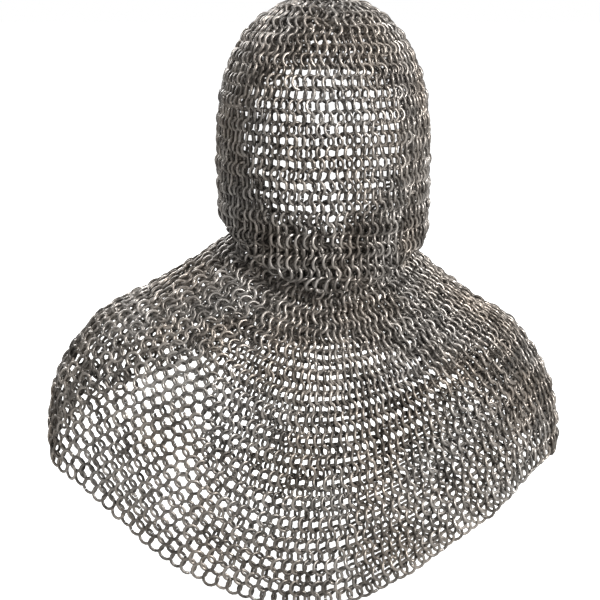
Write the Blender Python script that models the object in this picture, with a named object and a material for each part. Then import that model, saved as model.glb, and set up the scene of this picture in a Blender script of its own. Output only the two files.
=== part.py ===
# Mail coif: a hood of linked steel rings with a short mantle over the shoulders.
# The cloth of rings is made as separate fitted panels, each a thin closed shell
# on the drape of the worn coif. Units are metres, +Z is up, the face looks to +Y,
# and the origin is the seat on the crown of the wearer's head.

import math

import bmesh
import bpy
from mathutils import Vector

# The woven rings
RING_BORE = 0.010
WIRE = 0.0016
MAIL_THICKNESS = 0.005
ROUND_PITCH = 0.009
ROUND_RELIEF = 0.0014
JOIN_GAP = 0.0004

# The hood, measured on the middle of the mail
HEAD_HALF_WIDTH = 0.0815
HEAD_DEEPER_BEHIND = 0.0135
HEAD_DEEPER_IN_FRONT = 0.0065
HEAD_HALF_DEPTH_BACK = HEAD_HALF_WIDTH + HEAD_DEEPER_BEHIND
HEAD_HALF_DEPTH_FRONT = HEAD_HALF_WIDTH + HEAD_DEEPER_IN_FRONT
DOME_HEIGHT = 0.110
DOME_ROUNDNESS = 2.3
CROWN_DISC_SHARE = 0.22
CROWN_ROW_SHARES = (0.0, 0.25, 0.5, 0.75, 1.0)
BROW_DEPTH = 0.066
NAPE_TAPER_SHARE = 0.02
NAPE_DEPTH_TAPER_SHARE = 0.08

# The pivot of the neck, from which the lip, the jaw and the hem are set
PIVOT_DEPTH = 0.200
PIVOT_BACK = 0.006
JAW_ABOVE_PIVOT = 0.048
JAW_DEPTH = PIVOT_DEPTH - JAW_ABOVE_PIVOT

# The hood's lower lip, which hangs over the mantle
LIP_ABOVE_PIVOT = 0.004
LIP_DEPTH = PIVOT_DEPTH - LIP_ABOVE_PIVOT
LIP_SIDE_RISE = 0.021
LIP_SIDE_TILT = 0.008
LIP_FRONT_DROP = 0.0055
CHEEK_SPLIT = math.radians(0)
EAR_SPLIT = math.radians(45)

# The face opening, which stops above the lip by the height of the chin's mail
CHEEK_WIDTH = 0.0175
FACE_HALF_WIDTH = HEAD_HALF_WIDTH - CHEEK_WIDTH
FACE_TOP_DEPTH = 0.061
CHIN_HEIGHT = 0.0175
FACE_BOTTOM_DEPTH = LIP_DEPTH + LIP_SIDE_RISE + LIP_FRONT_DROP - CHIN_HEIGHT
FACE_TOP_CORNER = 0.034
FACE_BOTTOM_CORNER = 0.105
FACE_TOP_ROUNDNESS = 2.0
FACE_BOTTOM_ROUNDNESS = 1.6

# The slack folded up inside the lip, on a ball round the neck pivot
FOLD_INSET = 0.0066
FOLD_RADIUS = HEAD_HALF_WIDTH - FOLD_INSET
FOLD_THICKNESS = 0.0028
FOLD_GAP = 0.0007
FOLD_TOP_RISE = 0.046
THROAT_LOWERING = 0.049
FOLD_LIP_OVERLAP = 0.003
COLLAR_THICKNESS = 0.003
COLLAR_TOP_RISE = 0.038

# The mantle over the shoulders
FLARE_BELOW_LIP = 0.017
MANTLE_HALF_WIDTH = 0.2035
MANTLE_OFF_CENTRE = -0.0186
MANTLE_HALF_DEPTH_BACK = 0.116
MANTLE_HALF_DEPTH_FRONT = 0.094
HEM_SIDE_BELOW_PIVOT = 0.165
HEM_BACK_BELOW_PIVOT = 0.265
HEM_FRONT_BELOW_PIVOT = 0.095
HEM_SIDE_DEPTH = PIVOT_DEPTH + HEM_SIDE_BELOW_PIVOT
HEM_BACK_DEPTH = PIVOT_DEPTH + HEM_BACK_BELOW_PIVOT
HEM_FRONT_DEPTH = PIVOT_DEPTH + HEM_FRONT_BELOW_PIVOT
HEM_BACK_SHARPNESS = 2.8
HEM_FRONT_SHARPNESS = 1.4
FLUTE_DEPTH = 0.0025
FLUTE_COUNT = 9
YOKE_START_SHARE = 0.24
YOKE_END_SHARE = 0.62

# The two hanging flaps
FLAP_SPLIT = math.radians(52)
BACK_FLAP_BELOW_PIVOT = 0.100
BACK_FLAP_TOP_DEPTH = PIVOT_DEPTH + BACK_FLAP_BELOW_PIVOT
BACK_HINGE_INSET = 0.009
FRONT_FLAP_BELOW_PIVOT = 0.058
FRONT_FLAP_TOP_DEPTH = PIVOT_DEPTH + FRONT_FLAP_BELOW_PIVOT
FRONT_HINGE_INSET = 0.0155
FLAP_GAP = 0.0008
HINGE_GAP = 0.0022

# Reach from the neck and drop to the hem along three lines down the mantle
SIDE_FALL_SHARES = (
    (0.0, 0.0), (0.20, 0.12), (0.45, 0.25), (0.72, 0.37),
    (0.93, 0.60), (1.0, 0.82), (1.0, 1.0),
)
BACK_FALL_SHARES = (
    (0.0, 0.0), (0.35, 0.08), (0.68, 0.19), (0.88, 0.33),
    (0.97, 0.50), (1.0, 0.72), (1.0, 1.0),
)
FRONT_FALL_SHARES = (
    (0.0, 0.0), (0.30, 0.12), (0.55, 0.27), (0.75, 0.44),
    (0.89, 0.62), (0.97, 0.81), (1.0, 1.0),
)

# How finely the panels are cut
STEPS_ACROSS = 6
STEPS_DOWN = 6
FOLD_STEPS_ACROSS = 14
DISC_STEPS = 32
RING_STEPS = 24
WIRE_STEPS = 8
HALVING_STEPS = 30
SHARP_EDGE = math.radians(40)
PROBE = 1e-4

RIGHT_ANGLE = math.pi / 2
FULL_TURN = 2 * math.pi
BACK = -RIGHT_ANGLE
FRONT = RIGHT_ANGLE

for item in list(bpy.data.objects):
    bpy.data.objects.remove(item, do_unlink=True)


def steel(name, colour, roughness):
    """A Principled steel for one group of panels."""
    material = bpy.data.materials.new(name)
    material.use_nodes = True
    shader = material.node_tree.nodes["Principled BSDF"]
    shader.inputs["Base Color"].default_value = (*colour, 1.0)
    shader.inputs["Metallic"].default_value = 1.0
    shader.inputs["Roughness"].default_value = roughness
    return material


def smooth(share):
    share = min(max(share, 0.0), 1.0)
    return share * share * (3 - 2 * share)


def along_curve(points, share):
    """A point on the smooth curve through evenly numbered points."""
    spans = len(points) - 1
    place = min(max(share, 0.0), 1.0) * spans
    first = min(int(place), spans - 1)
    part = place - first
    near = [points[min(max(first + step, 0), spans)] for step in (-1, 0, 1, 2)]
    result = []
    for a, b, c, d in zip(*near):
        slope_in = (c - a) / 2
        slope_out = (d - b) / 2
        rise = b - c
        cubic = 2 * rise + slope_in + slope_out
        square = -3 * rise - 2 * slope_in - slope_out
        result.append(((cubic * part + square) * part + slope_in) * part + b)
    return result


def lip_height(angle):
    """Height of the hood's lower edge, highest over the shoulders."""
    return (-LIP_DEPTH + LIP_SIDE_RISE * math.cos(2 * angle)
            - LIP_SIDE_TILT * math.cos(angle) - LIP_FRONT_DROP * math.sin(angle))


def head_half_depth(angle):
    return HEAD_HALF_DEPTH_FRONT if math.sin(angle) > 0 else HEAD_HALF_DEPTH_BACK


def hood_at_height(angle, height):
    """The middle of the hood's mail below the dome."""
    widest = MAIL_THICKNESS / 2 - DOME_HEIGHT
    drawn_in = smooth((widest - height) / (widest + PIVOT_DEPTH))
    width = HEAD_HALF_WIDTH * (1 - NAPE_TAPER_SHARE * drawn_in)
    depth = head_half_depth(angle) * (1 - NAPE_DEPTH_TAPER_SHARE * drawn_in)
    return Vector((width * math.cos(angle), depth * math.sin(angle), height))


def hood(angle, down):
    """The middle of the hood's mail: down runs 0 to 1 over the dome, then to 2 at the lip."""
    top = MAIL_THICKNESS / 2
    if down <= 1:
        lean = down * RIGHT_ANGLE
        spread = math.sin(lean) ** (2 / DOME_ROUNDNESS)
        rise = max(math.cos(lean), 0.0) ** (2 / DOME_ROUNDNESS)
        return Vector((
            HEAD_HALF_WIDTH * spread * math.cos(angle),
            head_half_depth(angle) * spread * math.sin(angle),
            top - DOME_HEIGHT * (1 - rise)))
    widest = top - DOME_HEIGHT
    height = widest + (down - 1) * (lip_height(angle) - widest)
    return hood_at_height(angle, height)


def hood_down(angle, height):
    """The hood's down value at a height."""
    top = MAIL_THICKNESS / 2
    widest = top - DOME_HEIGHT
    if height >= widest:
        rise = (height - widest) / DOME_HEIGHT
        return math.acos(rise ** (DOME_ROUNDNESS / 2)) / RIGHT_ANGLE
    return 1 + (height - widest) / (lip_height(angle) - widest)


def corner_sweep(across, corner, roundness):
    """How far a rounded corner of the face opening has come down from its level edge."""
    share = min(across / FACE_HALF_WIDTH, 1.0)
    return corner * (1 - (1 - share ** roundness) ** (1 / roundness))


def face_top(angle):
    across = abs(HEAD_HALF_WIDTH * math.cos(angle))
    sweep = corner_sweep(across, FACE_TOP_CORNER, FACE_TOP_ROUNDNESS)
    return hood_down(angle, -FACE_TOP_DEPTH - sweep)


def face_bottom(angle):
    across = abs(HEAD_HALF_WIDTH * math.cos(angle))
    sweep = corner_sweep(across, FACE_BOTTOM_CORNER, FACE_BOTTOM_ROUNDNESS)
    return hood_down(angle, -FACE_BOTTOM_DEPTH + sweep)


def pivot():
    return Vector((0, -PIVOT_BACK, -PIVOT_DEPTH))


def on_ball(angle, height, radius):
    """A point on a ball round the neck pivot."""
    centre = pivot()
    rise = height - centre.z
    level = math.sqrt(radius * radius - rise * rise)
    return Vector((centre.x + level * math.cos(angle), centre.y + level * math.sin(angle), height))


def throat_dip(angle):
    """How much lower the folded slack stops at the throat, clear of the face opening."""
    return THROAT_LOWERING * smooth(math.sin(angle))


def fold(angle, down):
    """The slack turned up inside the hood's lip: down runs 0 at its top to 1."""
    top = -PIVOT_DEPTH + FOLD_TOP_RISE - throat_dip(angle)
    bottom = lip_height(angle) - FOLD_LIP_OVERLAP
    return on_ball(angle, top + down * (bottom - top), FOLD_RADIUS)


def collar_radius():
    return FOLD_RADIUS - (FOLD_THICKNESS + COLLAR_THICKNESS) / 2 - FOLD_GAP


def flare_height(angle):
    """Height where the mantle leaves the neck."""
    return lip_height(angle) - FLARE_BELOW_LIP


def hem_height(angle):
    """Height of the mantle's hem: level with the shoulders, deep behind, short in front."""
    side_share = abs(math.sin(angle))
    if math.sin(angle) < 0:
        return -HEM_SIDE_DEPTH - (HEM_BACK_DEPTH - HEM_SIDE_DEPTH) * side_share ** HEM_BACK_SHARPNESS
    return -HEM_SIDE_DEPTH + (HEM_SIDE_DEPTH - HEM_FRONT_DEPTH) * side_share ** HEM_FRONT_SHARPNESS


def mantle(angle, down):
    """The middle of the mantle's mail: down runs -1 to 0 up on the neck, then to 1 at the hem."""
    start = flare_height(angle)
    if down < 0:
        top = -PIVOT_DEPTH + COLLAR_TOP_RISE - throat_dip(angle)
        return on_ball(angle, start - down * (top - start), collar_radius())
    facing = math.sin(angle)
    centre_pull = facing * facing
    middle_fall = FRONT_FALL_SHARES if facing > 0 else BACK_FALL_SHARES
    side_reach, side_drop = along_curve(SIDE_FALL_SHARES, down)
    middle_reach, middle_drop = along_curve(middle_fall, down)
    reach = side_reach + centre_pull * (middle_reach - side_reach)
    drop = side_drop + centre_pull * (middle_drop - side_drop)
    neck = on_ball(angle, start, collar_radius())
    half_depth = MANTLE_HALF_DEPTH_FRONT if facing > 0 else MANTLE_HALF_DEPTH_BACK
    flute = FLUTE_DEPTH * down * down * math.cos(FLUTE_COUNT * angle)
    hem_x = MANTLE_OFF_CENTRE + (MANTLE_HALF_WIDTH + flute) * math.cos(angle)
    hem_y = (half_depth + flute) * facing
    return Vector((
        neck.x + reach * (hem_x - neck.x),
        neck.y + reach * (hem_y - neck.y),
        start + drop * (hem_height(angle) - start)))


def mantle_down(angle, height):
    """The mantle's down value at a height, found by halving."""
    low = 0.0
    high = 1.0
    for _ in range(HALVING_STEPS):
        middle = (low + high) / 2
        if mantle(angle, middle).z > height:
            low = middle
        else:
            high = middle
    return (low + high) / 2


def outward(surface, angle, down):
    """The surface's outward normal."""
    across = surface(angle + PROBE, down) - surface(angle - PROBE, down)
    falling = surface(angle, down + PROBE) - surface(angle, down - PROBE)
    return falling.cross(across).normalized()


def world_place(item):
    """Where an object or empty stands, through its parents."""
    place = Vector((0, 0, 0))
    while item:
        place += item.location
        item = item.parent
    return place


def joint_axis(name, place, parent=None):
    """An empty on a joint's axis, which carries the pieces that move about it."""
    empty = bpy.data.objects.new(name, None)
    empty.empty_display_size = HEAD_HALF_WIDTH
    empty.parent = parent
    empty.location = place - world_place(parent)
    bpy.context.collection.objects.link(empty)
    return empty


def shell(name, columns, closed, material, carrier=None):
    """A closed solid from columns of outer and inner points, open or joined round."""
    mesh = bpy.data.meshes.new(name)
    build = bmesh.new()
    origin = world_place(carrier)
    outer = [[build.verts.new(pair[0] - origin) for pair in column] for column in columns]
    inner = [[build.verts.new(pair[1] - origin) for pair in column] for column in columns]
    count = len(columns)
    pairs = [(i, (i + 1) % count) for i in range(count if closed else count - 1)]
    for i, k in pairs:
        for j in range(len(outer[i]) - 1):
            build.faces.new((outer[i][j], outer[i][j + 1], outer[k][j + 1], outer[k][j]))
            build.faces.new((inner[i][j], inner[k][j], inner[k][j + 1], inner[i][j + 1]))
        build.faces.new((outer[k][0], inner[k][0], inner[i][0], outer[i][0]))
        build.faces.new((outer[i][-1], inner[i][-1], inner[k][-1], outer[k][-1]))
    if not closed:
        for j in range(len(outer[0]) - 1):
            build.faces.new((outer[0][j], inner[0][j], inner[0][j + 1], outer[0][j + 1]))
            build.faces.new((outer[-1][j + 1], inner[-1][j + 1], inner[-1][j], outer[-1][j]))
    bmesh.ops.recalc_face_normals(build, faces=build.faces)
    bmesh.ops.triangulate(build, faces=build.faces)
    build.to_mesh(mesh)
    build.free()
    mesh.shade_smooth()
    mesh.set_sharp_from_angle(angle=SHARP_EDGE)
    mesh.materials.append(material)
    item = bpy.data.objects.new(name, mesh)
    item.parent = carrier
    bpy.context.collection.objects.link(item)
    return item


def wall_points(surface, angle, down, thickness):
    """The outer and inner points of the mail at one place."""
    offset = outward(surface, angle, down) * (thickness / 2)
    place = surface(angle, down)
    return place + offset, place - offset


def ribbed(thickness, step):
    """The mail is thin between two rounds of rings and thick on them."""
    return thickness if step % 2 else thickness - 2 * ROUND_RELIEF


def rounds_between(surface, angle, top, bottom):
    """How many rounds of rings fit between two places on one line down."""
    places = [surface(angle, top + share * (bottom - top)) for share in CROWN_ROW_SHARES]
    length = sum((lower - upper).length for upper, lower in zip(places, places[1:]))
    return max(round(length / ROUND_PITCH), 1)


def panel(name, surface, angles, downs, material, carrier=None, thickness=MAIL_THICKNESS,
          side_gap=JOIN_GAP, end_gaps=(JOIN_GAP, JOIN_GAP), plain_steps=None):
    """A thin closed panel between two angles and two edges that are functions of the angle.

    It has a rib for each round of rings, unless it is given the steps of a plain panel.
    """
    top_edge, bottom_edge = downs
    if plain_steps:
        across_steps, down_steps = plain_steps
    else:
        middle = (angles[0] + angles[1]) / 2
        across_steps = STEPS_ACROSS
        down_steps = 2 * rounds_between(surface, middle, top_edge(middle), bottom_edge(middle))
    columns = []
    for i in range(across_steps + 1):
        share = i / across_steps
        angle = angles[0] + share * (angles[1] - angles[0])
        middle = (top_edge(angle) + bottom_edge(angle)) / 2
        step = surface(angle + PROBE, middle) - surface(angle - PROBE, middle)
        angle += (1 - 2 * share) * side_gap / 2 / (step.length / 2 / PROBE)
        top = top_edge(angle)
        bottom = bottom_edge(angle)
        step = surface(angle, top + PROBE) - surface(angle, top)
        top += end_gaps[0] / 2 / (step.length / PROBE)
        step = surface(angle, bottom) - surface(angle, bottom - PROBE)
        bottom -= end_gaps[1] / 2 / (step.length / PROBE)
        column = []
        for j in range(down_steps + 1):
            depth = thickness if plain_steps else ribbed(thickness, j)
            column.append(wall_points(surface, angle, top + j / down_steps * (bottom - top), depth))
        columns.append(column)
    return shell(name, columns, False, material, carrier)


def level(value):
    """An edge at the same down value all the way round."""
    return lambda angle: value


# Steel finishes
hood_steel = steel("hood_steel", (0.23, 0.215, 0.20), 0.42)
fold_steel = steel("fold_steel", (0.16, 0.15, 0.14), 0.5)
mantle_steel = steel("mantle_steel", (0.26, 0.245, 0.23), 0.4)
flap_steel = steel("flap_steel", (0.29, 0.27, 0.25), 0.4)
ring_steel = steel("ring_steel", (0.32, 0.30, 0.28), 0.35)

# Crown: the first ring, and the disc of mail grown from it
crown_hole = RING_BORE / 2 + WIRE + JOIN_GAP
bpy.ops.mesh.primitive_torus_add(
    major_segments=RING_STEPS, minor_segments=WIRE_STEPS,
    major_radius=(RING_BORE + WIRE) / 2, minor_radius=WIRE / 2,
    location=(0, 0, MAIL_THICKNESS / 2))
crown_ring = bpy.context.active_object
crown_ring.name = "crown_ring"
crown_ring.data.materials.append(ring_steel)
crown_ring.data.shade_smooth()

hole_lean = math.asin((crown_hole / HEAD_HALF_WIDTH) ** (DOME_ROUNDNESS / 2)) / RIGHT_ANGLE
crown_columns = []
for i in range(DISC_STEPS):
    angle = FULL_TURN * i / DISC_STEPS
    crown_columns.append([
        wall_points(hood, angle, hole_lean + share * (CROWN_DISC_SHARE - hole_lean),
                    ribbed(MAIL_THICKNESS, step))
        for step, share in enumerate(CROWN_ROW_SHARES)])
shell("crown_disc", crown_columns, True, hood_steel)

# Hood walls: rounds of panels, named by what they cover, on each side of the head
CHEEK_EDGE = math.acos(FACE_HALF_WIDTH / HEAD_HALF_WIDTH)
SECTORS = (
    ("back", BACK, -EAR_SPLIT),
    ("ear", -EAR_SPLIT, CHEEK_SPLIT),
    ("cheek", CHEEK_SPLIT, CHEEK_EDGE),
    ("face", CHEEK_EDGE, FRONT),
)


def both_sides(sectors):
    """Each sector on the right, then mirrored to the left."""
    for name, start, end in sectors:
        yield name + "_right", (start, end)
    for name, start, end in sectors:
        yield name + "_left", (math.pi - end, math.pi - start)


def brow_edge(angle):
    return hood_down(angle, -BROW_DEPTH)


def jaw_edge(angle):
    return hood_down(angle, -JAW_DEPTH)


for name, angles in both_sides(SECTORS):
    over_face = name.startswith("face")
    lower_edge = face_top if over_face else brow_edge
    panel("crown_" + name, hood, angles, (level(CROWN_DISC_SHARE), lower_edge), hood_steel)
    if over_face:
        panel("chin_" + name[5:], hood, angles, (face_bottom, level(2)), hood_steel)
    else:
        panel("wall_" + name, hood, angles, (brow_edge, jaw_edge), hood_steel)
        panel("lip_" + name, hood, angles, (jaw_edge, level(2)), hood_steel)

# Fold: the slack turned up inside the lip, which lets the head turn
turn_axis = joint_axis("turn_axis", pivot())
for name, angles in both_sides((("back", BACK, 0), ("front", 0, FRONT))):
    panel("fold_" + name, fold, angles, (level(0), level(1)), fold_steel, turn_axis,
          thickness=FOLD_THICKNESS, plain_steps=(FOLD_STEPS_ACROSS, STEPS_DOWN))

# Mantle: a collar on the neck, a yoke over the shoulders, then the hanging parts
MANTLE_SECTORS = (
    ("back", BACK, -FLAP_SPLIT),
    ("blade", -FLAP_SPLIT, 0),
    ("shoulder", 0, FLAP_SPLIT),
    ("chest", FLAP_SPLIT, FRONT),
)


def back_flap_edge(angle):
    return mantle_down(angle, -BACK_FLAP_TOP_DEPTH)


def front_flap_edge(angle):
    return mantle_down(angle, -FRONT_FLAP_TOP_DEPTH)


nod_axis = joint_axis("nod_axis", pivot(), turn_axis)
back_hinge = joint_axis(
    "back_flap_hinge",
    Vector((MANTLE_OFF_CENTRE, BACK_HINGE_INSET - MANTLE_HALF_DEPTH_BACK, -BACK_FLAP_TOP_DEPTH)),
    nod_axis)
front_hinge = joint_axis(
    "front_flap_hinge",
    Vector((MANTLE_OFF_CENTRE, MANTLE_HALF_DEPTH_FRONT - FRONT_HINGE_INSET, -FRONT_FLAP_TOP_DEPTH)),
    nod_axis)

yoke_start = level(YOKE_START_SHARE)
yoke_end = level(YOKE_END_SHARE)
neck_top = level(-1)
hem = level(1)
for name, angles in both_sides(MANTLE_SECTORS):
    panel("collar_" + name, mantle, angles, (neck_top, yoke_start), mantle_steel, nod_axis,
          thickness=COLLAR_THICKNESS, plain_steps=(STEPS_ACROSS, 2 * STEPS_DOWN))
    if name.startswith("chest"):
        panel("yoke_" + name, mantle, angles, (yoke_start, front_flap_edge), mantle_steel, nod_axis,
              thickness=COLLAR_THICKNESS, side_gap=FLAP_GAP, end_gaps=(JOIN_GAP, HINGE_GAP),
              plain_steps=(STEPS_ACROSS, STEPS_DOWN))
        panel("front_flap" + name[5:], mantle, angles, (front_flap_edge, hem), flap_steel,
              front_hinge, side_gap=FLAP_GAP, end_gaps=(HINGE_GAP, JOIN_GAP))
    elif name.startswith("back"):
        panel("yoke_" + name, mantle, angles, (yoke_start, back_flap_edge), mantle_steel, nod_axis,
              side_gap=FLAP_GAP, end_gaps=(JOIN_GAP, HINGE_GAP))
        panel("back_flap" + name[4:], mantle, angles, (back_flap_edge, hem), flap_steel,
              back_hinge, side_gap=FLAP_GAP, end_gaps=(HINGE_GAP, JOIN_GAP))
    else:
        panel("yoke_" + name, mantle, angles, (yoke_start, yoke_end), mantle_steel, nod_axis,
              side_gap=FLAP_GAP)
        panel("drape_" + name, mantle, angles, (yoke_end, hem), mantle_steel, nod_axis,
              side_gap=FLAP_GAP)
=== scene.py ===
# Mail coif: single rings of a 4-in-1 weave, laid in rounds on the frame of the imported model.
# Units are metres, +Z is up, the face looks to +Y and the camera stands behind, at -Y.
import math

import bpy
import numpy as np
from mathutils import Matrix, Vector, noise


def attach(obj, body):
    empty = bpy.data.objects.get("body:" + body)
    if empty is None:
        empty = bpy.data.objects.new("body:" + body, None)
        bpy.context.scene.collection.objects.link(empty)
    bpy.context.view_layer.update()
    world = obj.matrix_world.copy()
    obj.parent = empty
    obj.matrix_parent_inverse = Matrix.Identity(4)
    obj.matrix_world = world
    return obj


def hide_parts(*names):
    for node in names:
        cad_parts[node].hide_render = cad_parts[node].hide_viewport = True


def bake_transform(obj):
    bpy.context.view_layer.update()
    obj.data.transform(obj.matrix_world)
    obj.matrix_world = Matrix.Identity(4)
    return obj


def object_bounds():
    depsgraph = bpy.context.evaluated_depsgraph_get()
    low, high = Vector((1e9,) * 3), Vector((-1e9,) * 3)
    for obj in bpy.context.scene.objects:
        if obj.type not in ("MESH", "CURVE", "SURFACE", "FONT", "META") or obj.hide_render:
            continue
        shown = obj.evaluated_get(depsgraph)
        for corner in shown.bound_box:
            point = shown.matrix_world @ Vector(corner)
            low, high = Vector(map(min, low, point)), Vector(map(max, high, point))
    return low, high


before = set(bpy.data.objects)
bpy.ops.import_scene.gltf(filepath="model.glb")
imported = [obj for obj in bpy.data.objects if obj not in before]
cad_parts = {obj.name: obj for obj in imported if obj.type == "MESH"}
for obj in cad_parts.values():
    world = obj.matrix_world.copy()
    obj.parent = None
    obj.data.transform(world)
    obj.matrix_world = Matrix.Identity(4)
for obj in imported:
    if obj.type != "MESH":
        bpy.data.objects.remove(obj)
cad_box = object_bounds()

bpy.ops.object.select_all(action="DESELECT")

# The crown ring
# The first ring of the coif, of round steel wire coiled, cut and closed with its ends butted.
# Every other ring is a copy of it. In real mail each is linked through four neighbours.
WIRE = 0.0026
RING_BORE = 0.0092
RING_MIDDLE = (RING_BORE + WIRE) / 2
RING_STEPS = 14
WIRE_SIDES = 5
BUTT_GAP = math.radians(4)
MAIL_THICKNESS = 0.005
RIGHT_ANGLE = math.pi / 2
FULL_TURN = 2 * math.pi

bpy.ops.mesh.primitive_circle_add(
    vertices=WIRE_SIDES, radius=WIRE / 2, location=(RING_MIDDLE, 0, 0),
    rotation=(RIGHT_ANGLE, 0, 0))
one_ring = bpy.context.active_object
bpy.ops.object.transform_apply(location=True, rotation=True)
bpy.ops.object.mode_set(mode="EDIT")
bpy.ops.mesh.select_all(action="SELECT")
bpy.ops.mesh.spin(
    steps=RING_STEPS, angle=FULL_TURN - BUTT_GAP, center=(0, 0, 0), axis=(0, 0, 1))
bpy.ops.mesh.select_all(action="DESELECT")
bpy.ops.mesh.select_non_manifold()
bpy.ops.mesh.edge_face_add()
bpy.ops.mesh.select_all(action="SELECT")
bpy.ops.mesh.normals_make_consistent(inside=False)
bpy.ops.object.mode_set(mode="OBJECT")
ring_points = np.array([v.co for v in one_ring.data.vertices])
# Sorted, because the edit tools list the faces in another order at each start of Blender
ring_faces = sorted(list(face.vertices) for face in one_ring.data.polygons)


# The dark and light tones are set per piece: lighter and darker copies of the same steel stand in
# for painted light and painted shade.
def mail_steel(name, dark, light, roughness):
    """Darkened steel: each ring its own tone, oily grime, bright rubbed spots and a fine grain."""
    material = bpy.data.materials.new(name)
    material.use_nodes = True
    nodes = material.node_tree.nodes
    links = material.node_tree.links
    shader = nodes["Principled BSDF"]
    shader.inputs["Metallic"].default_value = 0.8
    place = nodes.new("ShaderNodeTexCoord")
    tone = nodes.new("ShaderNodeAttribute")
    tone.attribute_name = "ring_tone"
    grime = nodes.new("ShaderNodeTexNoise")
    grime.inputs["Scale"].default_value = 240
    grime.inputs["Detail"].default_value = 4
    patches = nodes.new("ShaderNodeTexNoise")
    patches.inputs["Scale"].default_value = 22
    patches.inputs["Detail"].default_value = 2
    grain = nodes.new("ShaderNodeTexNoise")
    grain.inputs["Scale"].default_value = 1500
    grain.inputs["Detail"].default_value = 3
    for texture in (grime, patches, grain):
        links.new(place.outputs["Object"], texture.inputs["Vector"])
    both = nodes.new("ShaderNodeMath")
    both.operation = "MULTIPLY_ADD"
    both.inputs[1].default_value = 0.55
    links.new(grime.outputs["Fac"], both.inputs[0])
    shift = nodes.new("ShaderNodeMath")
    shift.operation = "MULTIPLY_ADD"
    shift.inputs[1].default_value = 0.45
    shift.inputs[2].default_value = -0.1
    links.new(tone.outputs["Fac"], shift.inputs[0])
    links.new(shift.outputs["Value"], both.inputs[2])
    colours = nodes.new("ShaderNodeValToRGB")
    colours.color_ramp.elements[0].position = 0.14
    colours.color_ramp.elements[0].color = (*dark, 1)
    colours.color_ramp.elements[1].position = 0.62
    colours.color_ramp.elements[1].color = (*light, 1)
    links.new(both.outputs["Value"], colours.inputs["Fac"])
    warm = nodes.new("ShaderNodeMix")
    warm.data_type = "RGBA"
    warm.blend_type = "MULTIPLY"
    warm.inputs["Factor"].default_value = 1.0
    tints = nodes.new("ShaderNodeValToRGB")
    tints.color_ramp.elements[0].position = 0.35
    tints.color_ramp.elements[0].color = (0.86, 0.80, 0.74, 1)
    tints.color_ramp.elements[1].position = 0.65
    tints.color_ramp.elements[1].color = (1.0, 1.0, 1.0, 1)
    links.new(patches.outputs["Fac"], tints.inputs["Fac"])
    links.new(colours.outputs["Color"], warm.inputs["A"])
    links.new(tints.outputs["Color"], warm.inputs["B"])
    links.new(warm.outputs["Result"], shader.inputs["Base Color"])
    rough = nodes.new("ShaderNodeMapRange")
    rough.inputs["From Min"].default_value = 0.3
    rough.inputs["From Max"].default_value = 0.7
    rough.inputs["To Min"].default_value = roughness + 0.14
    rough.inputs["To Max"].default_value = roughness - 0.08
    links.new(grime.outputs["Fac"], rough.inputs["Value"])
    links.new(rough.outputs["Result"], shader.inputs["Roughness"])
    bump = nodes.new("ShaderNodeBump")
    bump.inputs["Strength"].default_value = 0.35
    bump.inputs["Distance"].default_value = 0.0002
    links.new(grain.outputs["Fac"], bump.inputs["Height"])
    links.new(bump.outputs["Normal"], shader.inputs["Normal"])
    return material


# Blender's noise is seeded as well, because without a seed it differs at each start
DRAW_SEED = 11
draws = np.random.default_rng(DRAW_SEED)
noise.seed_set(DRAW_SEED)
SWAY_REACH = 0.0011
SWAY_SIZE = 26
SWAY_TURN = 0.25
LOOSE_SHIFT = 0.00035
LOOSE_TURN = math.radians(6)


def laid_rings(name, middles, acrosses, normals, turns, material):
    """Copies of the one ring in one mesh: each turned about the way down, and a little loose."""
    count = len(middles)
    downs = np.cross(acrosses, normals)
    facings = (np.cos(turns)[:, None] * normals + np.sin(turns)[:, None] * acrosses)
    loose = draws.normal(0, LOOSE_TURN, (count, 2))
    facings += loose[:, :1] * downs + loose[:, 1:] * acrosses
    facings /= np.linalg.norm(facings, axis=1)[:, None]
    sides = np.cross(downs, facings)
    sides /= np.linalg.norm(sides, axis=1)[:, None]
    ups = np.cross(facings, sides)
    rolls = draws.uniform(0, FULL_TURN, count)
    first = np.cos(rolls)[:, None] * sides + np.sin(rolls)[:, None] * ups
    second = np.cross(facings, first)
    centres = middles + draws.normal(0, LOOSE_SHIFT, (count, 3))
    points = (centres[:, None, :]
              + ring_points[None, :, 0, None] * first[:, None, :]
              + ring_points[None, :, 1, None] * second[:, None, :]
              + ring_points[None, :, 2, None] * facings[:, None, :])
    span = len(ring_points)
    faces = [[corner + span * ring for corner in face]
             for ring in range(count) for face in ring_faces]
    mesh = bpy.data.meshes.new(name)
    mesh.from_pydata(points.reshape(-1, 3), [], faces)
    mesh.shade_smooth()
    tone = mesh.attributes.new("ring_tone", "FLOAT", "POINT")
    tone.data.foreach_set("value", np.repeat(draws.uniform(0, 1, count), span))
    mesh.materials.append(material)
    piece = bpy.data.objects.new(name, mesh)
    bpy.context.collection.objects.link(piece)
    return piece


hood_steel = mail_steel("hood_steel", (0.085, 0.078, 0.072), (0.35, 0.33, 0.31), 0.40)
FLAT = np.array([[0.0, 0.0, 1.0]])
crown = laid_rings("crown_first_ring", np.array([[0, 0, MAIL_THICKNESS / 2]]),
                   np.array([[1.0, 0.0, 0.0]]), FLAT, np.zeros(1), hood_steel)
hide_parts("crown_ring")
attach(crown, "hood")

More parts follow.
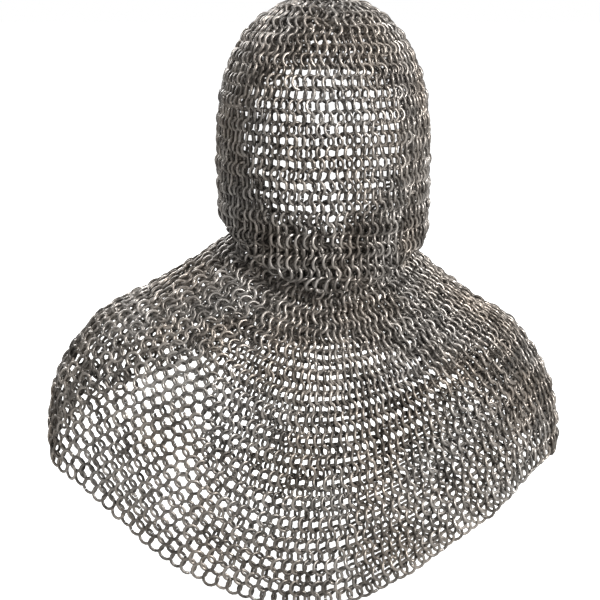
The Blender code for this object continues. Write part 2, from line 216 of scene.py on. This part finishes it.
# The dome of the hood
# Rounds of rings grown from the crown ring: each time the rounds have widened too far, the next
# takes extra rings, which hang free above, so the mail fits the skull without a seam.
HEAD_HALF_WIDTH = 0.0815
HEAD_HALF_DEPTH_BACK = 0.095
HEAD_HALF_DEPTH_FRONT = 0.088
DOME_HEIGHT = 0.110
DOME_ROUNDNESS = 2.3
NAPE_TAPER_SHARE = 0.02
NAPE_DEPTH_TAPER_SHARE = 0.08
PIVOT_DEPTH = 0.200
PIVOT_BACK = 0.006
LIP_DEPTH = 0.196
LIP_SIDE_RISE = 0.021
LIP_SIDE_TILT = 0.008
LIP_FRONT_DROP = 0.0055
FOLD_RADIUS = 0.0749
FOLD_TOP_RISE = 0.036
THROAT_LOWERING = 0.049
DOME_ROUNDS = 18
FIRST_ROUND_COUNT = 6
HOOD_ROW = 0.0088
HOOD_PITCH = 0.0069
STRETCHED_PITCH = 0.0074
DOME_LINES = 60
WALL_LINES = 30
TURN_LINES = 9
FOLD_LINES = 20
ANGLE_COUNT = 361
angles = np.linspace(-math.pi, math.pi, ANGLE_COUNT)
cosines = np.cos(angles)
sines = np.sin(angles)


def smooth(share):
    share = np.clip(share, 0, 1)
    return share * share * (3 - 2 * share)


def lip_height(angle):
    """Height of the hood's lower edge, highest over the shoulders."""
    return (-LIP_DEPTH + LIP_SIDE_RISE * np.cos(2 * angle)
            - LIP_SIDE_TILT * np.cos(angle) - LIP_FRONT_DROP * np.sin(angle))


def line_of(x, y, z):
    """One level line of the drape, a point for every angle."""
    return np.stack(np.broadcast_arrays(x, y, z), axis=-1)


head_depths = np.where(sines > 0, HEAD_HALF_DEPTH_FRONT, HEAD_HALF_DEPTH_BACK)
widest = MAIL_THICKNESS / 2 - DOME_HEIGHT


def dome_line(down):
    """A level of the dome, from 0 at the crown to 1 where the head is widest."""
    spread = math.sin(down * RIGHT_ANGLE) ** (2 / DOME_ROUNDNESS)
    rise = max(math.cos(down * RIGHT_ANGLE), 0.0) ** (2 / DOME_ROUNDNESS)
    return line_of(HEAD_HALF_WIDTH * spread * cosines, head_depths * spread * sines,
                   MAIL_THICKNESS / 2 - DOME_HEIGHT * (1 - rise))


def wall_line(heights):
    """A line on the hood's walls at a height for every angle."""
    drawn_in = smooth((widest - heights) / (widest + PIVOT_DEPTH))
    return line_of(HEAD_HALF_WIDTH * (1 - NAPE_TAPER_SHARE * drawn_in) * cosines,
                   head_depths * (1 - NAPE_DEPTH_TAPER_SHARE * drawn_in) * sines, heights)


def ball_line(heights, radius):
    """A line on a ball round the neck pivot at a height for every angle."""
    level = np.sqrt(radius ** 2 - (heights + PIVOT_DEPTH) ** 2)
    return line_of(level * cosines, level * sines - PIVOT_BACK, heights)


def travel_down(lines):
    """How far each point of a drape lies down its own meridian."""
    steps = np.linalg.norm(np.diff(lines, axis=0), axis=2)
    return np.concatenate([np.zeros((1, len(angles))), np.cumsum(steps, axis=0)])


lips = lip_height(angles)
dome_lines = [dome_line(share) for share in np.linspace(0, 1, DOME_LINES)]
wall_lines = [wall_line(widest + share * (lips - widest))
              for share in np.linspace(0, 1, WALL_LINES)[1:]]
throat_dips = THROAT_LOWERING * smooth(sines)
fold_tops = -PIVOT_DEPTH + FOLD_TOP_RISE - throat_dips
fold_foot = ball_line(lips, FOLD_RADIUS)
turn_lines = []
for lean in np.linspace(0, math.pi, TURN_LINES)[1:-1]:
    half = (wall_lines[-1] - fold_foot) / 2
    drop = np.linalg.norm(half, axis=1) * math.sin(lean)
    turn_lines.append(fold_foot + half * (1 + math.cos(lean)) - drop[:, None] * FLAT)
fold_lines = [ball_line(lips + share * (fold_tops - lips), FOLD_RADIUS)
              for share in np.linspace(0, 1, FOLD_LINES)]
hood_lines = np.array(dome_lines + wall_lines + turn_lines + fold_lines)
hood_travel = travel_down(hood_lines)
dome_lengths = hood_travel[len(dome_lines) - 1]
lip_travel = hood_travel[len(dome_lines) + len(wall_lines) - 1]
fold_travel = hood_travel[-len(fold_lines)]


def row_on(lines, travel, wanted):
    """A row's points, its ways across and its outward normals, at a travel for every angle."""
    points = np.empty((len(angles), 3))
    falls = np.empty((len(angles), 3))
    for i in range(len(angles)):
        for axis in range(3):
            ends = np.interp([wanted[i] - WIRE, wanted[i], wanted[i] + WIRE],
                             travel[:, i], lines[:, i, axis])
            points[i, axis] = ends[1]
            falls[i, axis] = ends[2] - ends[0]
    loop = np.concatenate([points[-2:-1], points, points[1:2]])
    acrosses = loop[2:] - loop[:-2]
    acrosses /= np.linalg.norm(acrosses, axis=1)[:, None]
    normals = np.cross(falls, acrosses)
    normals /= np.linalg.norm(normals, axis=1)[:, None]
    return points, acrosses, normals


def spaced_row(row, points, pitches, count):
    """Angles of one row's rings, every other row half a pitch on."""
    steps = np.linalg.norm(np.diff(points, axis=0), axis=1)
    wants = (pitches[1:] + pitches[:-1]) / 2
    total = np.concatenate([[0], np.cumsum(steps / wants)])
    marks = (np.arange(count) + 0.5 * (row % 2)) / count * total[-1]
    return np.interp(marks, total, angles)


EDGE_LAP = 0.0016
LEAST_LEAN = math.radians(14)
HOOD_SLANT = math.radians(5)


def ring_lean(pitches):
    """How far rings stand on edge: each just laps over the side of the next one in its round."""
    seen = np.clip((pitches + EDGE_LAP) / (2 * RING_MIDDLE), 0, 1)
    return np.maximum(np.arccos(seen), LEAST_LEAN)


def mail_row(row, surface, wanted, ring_angles, slants):
    """One row of rings: middles, ways across, normals, turns, angles and travels."""
    at = [np.stack([np.interp(ring_angles, angles, table[:, axis]) for axis in range(3)], axis=1)
          for table in surface]
    at[1] /= np.linalg.norm(at[1], axis=1)[:, None]
    at[2] /= np.linalg.norm(at[2], axis=1)[:, None]
    before = np.linalg.norm(at[0] - np.roll(at[0], 1, axis=0), axis=1)
    ring_pitches = (before + np.roll(before, -1)) / 2
    slants_here = np.interp(ring_angles, angles, slants)
    turns = (ring_lean(ring_pitches) - slants_here) * (-1 if row % 2 else 1)
    sway = np.array([noise.noise_vector(Vector(p) * SWAY_SIZE) for p in at[0]])
    middles = at[0] + SWAY_REACH * (sway[:, :1] * at[1] + sway[:, 1:2] * np.cross(at[1], at[2]))
    turns = turns * (1 + SWAY_TURN * sway[:, 2]) + slants_here
    return np.column_stack([middles, at[1], at[2], turns, ring_angles,
                            np.interp(ring_angles, angles, wanted)])


hood_slants = np.full(len(angles), HOOD_SLANT)
hood_rows = []
count = FIRST_ROUND_COUNT
row = 1
while True:
    if row <= DOME_ROUNDS:
        wanted = dome_lengths * row / DOME_ROUNDS
    else:
        wanted = dome_lengths + (row - DOME_ROUNDS) * HOOD_ROW
    if np.all(wanted > hood_travel[-1]):
        break
    surface = row_on(hood_lines, hood_travel, wanted)
    girth = np.linalg.norm(np.diff(surface[0], axis=0), axis=1).sum()
    if girth / count > STRETCHED_PITCH and row <= DOME_ROUNDS:
        count = round(girth / HOOD_PITCH)
    ring_angles = spaced_row(row, surface[0], np.ones(len(angles)), count)
    made = mail_row(row, surface, wanted, ring_angles, hood_slants)
    rows_kept = made[:, 11] <= np.interp(made[:, 10], angles, hood_travel[-1])
    hood_rows.append(np.column_stack([made, np.full(len(made), row)])[rows_kept])
    row += 1
hood_rings = np.concatenate(hood_rows)
y, z = hood_rings[:, 1], hood_rings[:, 2]
ring_lips = np.interp(hood_rings[:, 10], angles, lip_travel)

# The face opening is left out of the rounds, with its corners rounded
FACE_HALF_WIDTH = 0.064
FACE_TOP_DEPTH = 0.061
FACE_BOTTOM_DEPTH = 0.205
FACE_TOP_CORNER = 0.034
FACE_BOTTOM_CORNER = 0.105
FACE_TOP_ROUNDNESS = 2.0
FACE_BOTTOM_ROUNDNESS = 1.6
EDGE_ROOM = 0.0045


def corner_sweep(across, corner, roundness):
    """How far a rounded corner of the face opening has come from its level edge."""
    share = np.minimum(across / (FACE_HALF_WIDTH + EDGE_ROOM), 1)
    return corner * (1 - (1 - share ** roundness) ** (1 / roundness))


face_across = np.abs(HEAD_HALF_WIDTH * np.cos(hood_rings[:, 10]))
in_face = (y > 0) & (face_across < FACE_HALF_WIDTH + EDGE_ROOM)
top_sweep = corner_sweep(face_across, FACE_TOP_CORNER, FACE_TOP_ROUNDNESS)
bottom_sweep = corner_sweep(face_across, FACE_BOTTOM_CORNER, FACE_BOTTOM_ROUNDNESS)
in_face &= z < -FACE_TOP_DEPTH + EDGE_ROOM - top_sweep
in_face &= z > -FACE_BOTTOM_DEPTH - EDGE_ROOM + bottom_sweep
in_face &= hood_rings[:, 11] < ring_lips
hood_rings = hood_rings[~in_face]
x, z = hood_rings[:, 0], hood_rings[:, 2]
ring_folds = np.interp(hood_rings[:, 10], angles, fold_travel)


def mail_piece(name, rings, material, replaced):
    piece = laid_rings(name, rings[:, 0:3], rings[:, 3:6], rings[:, 6:9], rings[:, 9], material)
    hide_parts(*replaced)
    return piece


CROWN_ROUNDS = 4
BROW_DEPTH = 0.066
JAW_DEPTH = 0.152
folded = hood_rings[:, 11] > ring_folds
in_crown = hood_rings[:, 12] <= CROWN_ROUNDS
in_dome = ~in_crown & (z > -BROW_DEPTH) & ~folded
in_wall = (z <= -BROW_DEPTH) & (z > -JAW_DEPTH) & ~folded
in_lip = (z <= -JAW_DEPTH) & ~folded
piece = mail_piece("crown_rounds", hood_rings[in_crown], hood_steel, ["crown_disc"])
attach(piece, "hood")
for side, here in (("right", x > 0), ("left", x <= 0)):
    for part, rows, stems in (
            ("dome", in_dome, ("crown_back", "crown_ear", "crown_cheek", "crown_face")),
            ("wall", in_wall, ("wall_back", "wall_ear", "wall_cheek")),
            ("lip", in_lip, ("lip_back", "lip_ear", "lip_cheek", "chin"))):
        piece = mail_piece(f"hood_{part}_{side}", hood_rings[rows & here], hood_steel,
                           [f"{stem}_{side}" for stem in stems])
        if part == "dome":
            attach(piece, "hood")
        else:
            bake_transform(piece)

# The fold
# Slack mail turned up inside the lip, in one piece with it.
# Painted light: the fold gets a lighter copy of the hood's steel, so the same mail shows brighter
# inside the lip.
fold_steel = mail_steel("fold_steel", (0.13, 0.121, 0.112), (0.52, 0.49, 0.46), 0.38)
for side, here in (("right", x > 0), ("left", x <= 0)):
    piece = mail_piece(f"fold_ply_{side}", hood_rings[folded & here], fold_steel,
                       [f"fold_back_{side}", f"fold_front_{side}"])
    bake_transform(piece)

# The mantle
# Rounds of rings from the neck over the shoulders. They widen first by stretching, then by
# extra rings, and hang open on the left and closed up on the right, as the coif is worn.
COLLAR_RADIUS = 0.0713
COLLAR_TOP_RISE = 0.030
FLARE_BELOW_LIP = 0.017
MANTLE_HALF_WIDTH = 0.2035
MANTLE_OFF_CENTRE = -0.0186
MANTLE_HALF_DEPTH_BACK = 0.116
MANTLE_HALF_DEPTH_FRONT = 0.094
HEM_SIDE_DEPTH = 0.365
HEM_BACK_DEPTH = 0.465
HEM_FRONT_DEPTH = 0.295
HEM_BACK_SHARPNESS = 2.8
HEM_FRONT_SHARPNESS = 1.4
FLUTE_DEPTH = 0.0025
FLUTE_COUNT = 9
SIDE_FALL_SHARES = (
    (0.0, 0.0), (0.20, 0.12), (0.45, 0.25), (0.72, 0.37),
    (0.93, 0.60), (1.0, 0.82), (1.0, 1.0),
)
BACK_FALL_SHARES = (
    (0.0, 0.0), (0.35, 0.08), (0.68, 0.19), (0.88, 0.33),
    (0.97, 0.50), (1.0, 0.72), (1.0, 1.0),
)
FRONT_FALL_SHARES = (
    (0.0, 0.0), (0.30, 0.12), (0.55, 0.27), (0.75, 0.44),
    (0.89, 0.62), (0.97, 0.81), (1.0, 1.0),
)
COLLAR_LINES = 16
MANTLE_LINES = 90
MANTLE_ROWS = 29
COLLAR_END_ROW = 4
YOKE_END_ROW = 18
LOOSER_FROM_ROW = 14
LOOSER_WITHIN_ROWS = 12
mantle_row_numbers = list(range(-5, MANTLE_ROWS + 1))
YOKE_COUNTS = (74, 74, 74, 74, 76, 78, 82, 86, 90, 94, 98, 102, 106, 110)
HEM_COUNT_FROM_ROW = mantle_row_numbers[0] + len(YOKE_COUNTS)


def along_curve(points, share):
    """A point on the smooth curve through evenly numbered points."""
    spans = len(points) - 1
    place = min(max(share, 0.0), 1.0) * spans
    first = min(int(place), spans - 1)
    part = place - first
    near = [points[min(max(first + step, 0), spans)] for step in (-1, 0, 1, 2)]
    result = []
    for a, b, c, d in zip(*near):
        slope_in = (c - a) / 2
        slope_out = (d - b) / 2
        rise = b - c
        cubic = 2 * rise + slope_in + slope_out
        square = -3 * rise - 2 * slope_in - slope_out
        result.append(((cubic * part + square) * part + slope_in) * part + b)
    return result


starts = lips - FLARE_BELOW_LIP
side_shares = np.abs(sines)
hems = np.where(
    sines < 0,
    -HEM_SIDE_DEPTH - (HEM_BACK_DEPTH - HEM_SIDE_DEPTH) * side_shares ** HEM_BACK_SHARPNESS,
    -HEM_SIDE_DEPTH + (HEM_SIDE_DEPTH - HEM_FRONT_DEPTH) * side_shares ** HEM_FRONT_SHARPNESS)
mantle_depths = np.where(sines > 0, MANTLE_HALF_DEPTH_FRONT, MANTLE_HALF_DEPTH_BACK)


def mantle_line(down):
    """A line of the mantle, from 0 where it leaves the neck to 1 at the hem."""
    side = along_curve(SIDE_FALL_SHARES, down)
    back = along_curve(BACK_FALL_SHARES, down)
    front = along_curve(FRONT_FALL_SHARES, down)
    reach, drop = [
        side[i] + sines ** 2 * (np.where(sines > 0, front[i], back[i]) - side[i]) for i in (0, 1)]
    neck = ball_line(starts, COLLAR_RADIUS)
    flute = FLUTE_DEPTH * down * down * np.cos(FLUTE_COUNT * angles)
    hem_x = MANTLE_OFF_CENTRE + (MANTLE_HALF_WIDTH + flute) * cosines
    hem_y = (mantle_depths + flute) * sines
    return line_of(neck[:, 0] + reach * (hem_x - neck[:, 0]),
                   neck[:, 1] + reach * (hem_y - neck[:, 1]),
                   starts + drop * (hems - starts))


collar_tops = -PIVOT_DEPTH + COLLAR_TOP_RISE - throat_dips
collar_lines = [ball_line(collar_tops + share * (starts - collar_tops), COLLAR_RADIUS)
                for share in np.linspace(0, 1, COLLAR_LINES)[:-1]]
mantle_lines = np.array(
    collar_lines + [mantle_line(share) for share in np.linspace(0, 1, MANTLE_LINES)])
mantle_travel = travel_down(mantle_lines)
neck_travel = mantle_travel[len(collar_lines)]
falls = mantle_travel[-1] - neck_travel - RING_MIDDLE
side_falls = falls[ANGLE_COUNT // 2] * (1 + cosines) / 2 + falls[0] * (1 - cosines) / 2
mantle_falls = np.where(sines > 0, side_falls, falls)

# How much wider the rows hang near the hem than near the neck, by degrees round the wearer
WIDENING_DEGREES = (-180, -150, -120, -95, -60, -20, 90, 140, 180)
WIDENING_SHARES = (0.12, 0.16, 0.14, 0.03, 0.00, 0.06, 0.06, 0.08, 0.12)
widenings = np.interp(np.degrees(angles), WIDENING_DEGREES, WIDENING_SHARES)


def row_travel(row):
    """How far down its meridian a row of the mantle lies, for every angle."""
    share = row / MANTLE_ROWS
    return neck_travel + mantle_falls * share * (1 + widenings * (max(share, 0) - 1))


# Pitch wanted between rings at the hem and higher up, in millimetres, by degrees round the
# wearer: set from the photo
PITCH_DEGREES = (-180, -150, -120, -100, -80, -50, -20, 0, 40, 90, 140, 180)
PITCH_MILLIMETRES = (10.6, 11.0, 10.6, 9.2, 8.2, 7.8, 7.6, 7.6, 7.8, 8.4, 9.4, 10.6)
HIGHER_MILLIMETRES = (10.0, 10.4, 10.0, 8.6, 7.5, 7.2, 7.2, 7.2, 7.8, 8.2, 9.2, 10.0)

# How far round each row lies from the one below it, so that linked rings are equally far apart
DRIFT_DEGREES = (-180, -165, -120, -105, -60, 120, 180)
DRIFT_A_ROW = (0.75, 0.85, 0.85, 0.6, 0.0, 0.0, 0.75)
DRIFT_ROWS = 12
hem_pitches = np.interp(np.degrees(angles), PITCH_DEGREES, PITCH_MILLIMETRES) / 1000
higher_pitches = np.interp(np.degrees(angles), PITCH_DEGREES, HIGHER_MILLIMETRES) / 1000
# How far the whole weave leans one way, by degrees round the wearer
SLANT_ROUND = (-180, -150, -110, -70, -50, -20, 0, 90, 180)
SLANT_DEGREES = (4, 8, 14, 16, 16, 12, 8, 0, 4)
mantle_slants = np.radians(np.interp(np.degrees(angles), SLANT_ROUND, SLANT_DEGREES))

surfaces = [row_on(mantle_lines, mantle_travel, row_travel(row)) for row in mantle_row_numbers]
hem_steps = np.linalg.norm(np.diff(surfaces[-1][0], axis=0), axis=1)
hem_count = round((hem_steps / hem_pitches[1:]).sum())
mantle_rows = []
for row, surface in zip(mantle_row_numbers, surfaces):
    if row < HEM_COUNT_FROM_ROW:
        count = YOKE_COUNTS[row - mantle_row_numbers[0]]
    else:
        count = hem_count
    lowness = smooth((row - LOOSER_FROM_ROW) / LOOSER_WITHIN_ROWS)
    row_pitches = higher_pitches + (hem_pitches - higher_pitches) * lowness
    ring_angles = spaced_row(row, surface[0], row_pitches, count)
    rows_up = DRIFT_ROWS * (1 - math.exp((row - MANTLE_ROWS) / DRIFT_ROWS))
    ring_angles = ring_angles + rows_up * np.radians(
        np.interp(np.degrees(ring_angles), DRIFT_DEGREES, DRIFT_A_ROW))
    ring_angles = np.sort((ring_angles + math.pi) % FULL_TURN - math.pi)
    made = mail_row(row, surface, row_travel(row), ring_angles, mantle_slants)
    ends = np.interp(made[:, 10], angles, mantle_travel[-1]) - RING_MIDDLE / 2
    kept = (made[:, 11] <= ends) & (made[:, 11] >= 0)
    mantle_rows.append(np.column_stack([made, np.full(len(made), row)])[kept])
mantle_rings = np.concatenate(mantle_rows)
x, y, z = mantle_rings[:, 0], mantle_rings[:, 1], mantle_rings[:, 2]
ring_angles = np.degrees(mantle_rings[:, 10])
rows = mantle_rings[:, 12]
FLAP_SPLIT = 52
BACK_FLAP_TOP_DEPTH = 0.300
FRONT_FLAP_TOP_DEPTH = 0.258
from_middle = np.abs(np.abs(ring_angles) - 90)
behind = (ring_angles < 0) & (from_middle < 90 - FLAP_SPLIT)
before = (ring_angles > 0) & (from_middle < 90 - FLAP_SPLIT)
in_back_flap = behind & (z < -BACK_FLAP_TOP_DEPTH)
in_front_flap = before & (z < -FRONT_FLAP_TOP_DEPTH)
in_collar = rows < COLLAR_END_ROW
in_yoke = ~in_collar & (rows < YOKE_END_ROW) & ~in_back_flap & ~in_front_flap
in_drape = ~in_collar & ~in_yoke & ~in_back_flap & ~in_front_flap
# Painted shade: the mantle's steel has darker dark tones than the hood's, standing in for the
# shadow between its wires.
mantle_steel = mail_steel("mantle_steel", (0.075, 0.069, 0.063), (0.39, 0.366, 0.342), 0.38)
# Painted shade: the flaps get a darker copy of the mantle's steel, darker all over as if in shade.
flap_steel = mail_steel("flap_steel", (0.065, 0.06, 0.055), (0.34, 0.318, 0.297), 0.38)
SECTORS = ("back", "blade", "shoulder", "chest")
for side, here in (("right", x > MANTLE_OFF_CENTRE), ("left", x <= MANTLE_OFF_CENTRE)):
    for part, there in (("collar", in_collar), ("yoke", in_yoke)):
        piece = mail_piece(f"mantle_{part}_{side}", mantle_rings[there & here], mantle_steel,
                           [f"{part}_{sector}_{side}" for sector in SECTORS])
        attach(piece, "mantle")
    piece = mail_piece(f"mantle_drape_{side}", mantle_rings[in_drape & here], mantle_steel,
                       [f"drape_blade_{side}", f"drape_shoulder_{side}"])
    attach(piece, "mantle")
    piece = mail_piece(f"mantle_back_{side}", mantle_rings[in_back_flap & here], flap_steel,
                       [f"back_flap_{side}"])
    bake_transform(piece)
    piece = mail_piece(f"mantle_front_{side}", mantle_rings[in_front_flap & here], flap_steel,
                       [f"front_flap_{side}"])
    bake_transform(piece)
bpy.data.objects.remove(one_ring, do_unlink=True)

# The studio
# A pale floor just under the back hem, even light all round and a soft lamp from the front right.
FLOOR_DROP = 0.002
FLOOR_SIZE = 9
FLOOR_GLOW = 0.94
bpy.ops.mesh.primitive_plane_add(
    size=FLOOR_SIZE, location=(0, 0, cad_box[0].z - FLOOR_DROP))
floor = bpy.context.active_object
floor.name = "studio_floor"
paper = bpy.data.materials.new("floor_paper")
paper.use_nodes = True
nodes = paper.node_tree.nodes
links = paper.node_tree.links
shader = nodes["Principled BSDF"]
shader.inputs["Base Color"].default_value = (0.6, 0.6, 0.59, 1)
shader.inputs["Roughness"].default_value = 0.9
shader.inputs["Specular IOR Level"].default_value = 0.1
glow = nodes.new("ShaderNodeEmission")
glow.inputs["Color"].default_value = (1, 1, 1, 1)
added = nodes.new("ShaderNodeAddShader")
path = nodes.new("ShaderNodeLightPath")
seen = nodes.new("ShaderNodeMath")
seen.operation = "MULTIPLY"
seen.inputs[1].default_value = FLOOR_GLOW
links.new(path.outputs["Is Camera Ray"], seen.inputs[0])
links.new(seen.outputs["Value"], glow.inputs["Strength"])
links.new(shader.outputs["BSDF"], added.inputs[0])
links.new(glow.outputs["Emission"], added.inputs[1])
links.new(added.outputs["Shader"], nodes["Material Output"].inputs["Surface"])
floor.data.materials.append(paper)

WORLD_LIGHT = 0.27
WORLD_IN_MIRRORS = 0.05
world = bpy.data.worlds.new("studio_world")
bpy.context.scene.world = world
world.use_nodes = True
nodes = world.node_tree.nodes
links = world.node_tree.links
background = nodes["Background"]
background.inputs["Color"].default_value = (1, 1, 1, 1)
path = nodes.new("ShaderNodeLightPath")
showing = nodes.new("ShaderNodeMath")
showing.operation = "MAXIMUM"
links.new(path.outputs["Is Camera Ray"], showing.inputs[0])
links.new(path.outputs["Is Transmission Ray"], showing.inputs[1])
mirrored = nodes.new("ShaderNodeMath")
mirrored.operation = "MULTIPLY_ADD"
mirrored.inputs[1].default_value = WORLD_IN_MIRRORS
links.new(path.outputs["Is Glossy Ray"], mirrored.inputs[0])
links.new(showing.outputs["Value"], mirrored.inputs[2])
level = nodes.new("ShaderNodeMapRange")
level.inputs["To Min"].default_value = WORLD_LIGHT
level.inputs["To Max"].default_value = 1.0
links.new(mirrored.outputs["Value"], level.inputs["Value"])
links.new(level.outputs["Result"], background.inputs["Strength"])


def soft_lamp(name, place, aim, size, power):
    bpy.ops.object.light_add(type="AREA", location=place)
    lamp = bpy.context.active_object
    lamp.name = name
    lamp.data.size = size
    lamp.data.energy = power
    lamp.rotation_euler = (Vector(aim) - Vector(place)).to_track_quat("-Z", "Y").to_euler()


MIDDLE = (MANTLE_OFF_CENTRE, 0, -0.24)
soft_lamp("lamp_right", (1.2, -1.2, 0.8), MIDDLE, 0.4, 62)
soft_lamp("lamp_left", (-1.5, -0.6, 0.4), MIDDLE, 0.6, 4)
soft_lamp("lamp_top", (0.1, -0.3, 1.3), MIDDLE, 0.6, 12)
soft_lamp("lamp_face_side", (-0.7, 1.5, 0.5), MIDDLE, 0.8, 22)

# The camera looks a little down on the back of the coif from far away
ELEVATION = math.radians(10)
DISTANCE = 3.0
PHOTO_PIXELS = 600
PIXELS_A_METRE = 1235
FRAME_WIDTH = PHOTO_PIXELS / PIXELS_A_METRE
SENSOR_WIDTH = 36
bpy.ops.object.camera_add(location=(
    MIDDLE[0], -DISTANCE * math.cos(ELEVATION), MIDDLE[2] + DISTANCE * math.sin(ELEVATION)))
camera = bpy.context.active_object
camera.rotation_euler = (RIGHT_ANGLE - ELEVATION, 0, 0)
camera.data.sensor_width = SENSOR_WIDTH
camera.data.lens = SENSOR_WIDTH * DISTANCE / FRAME_WIDTH
bpy.context.scene.camera = camera
bpy.context.scene.view_settings.view_transform = "Standard"
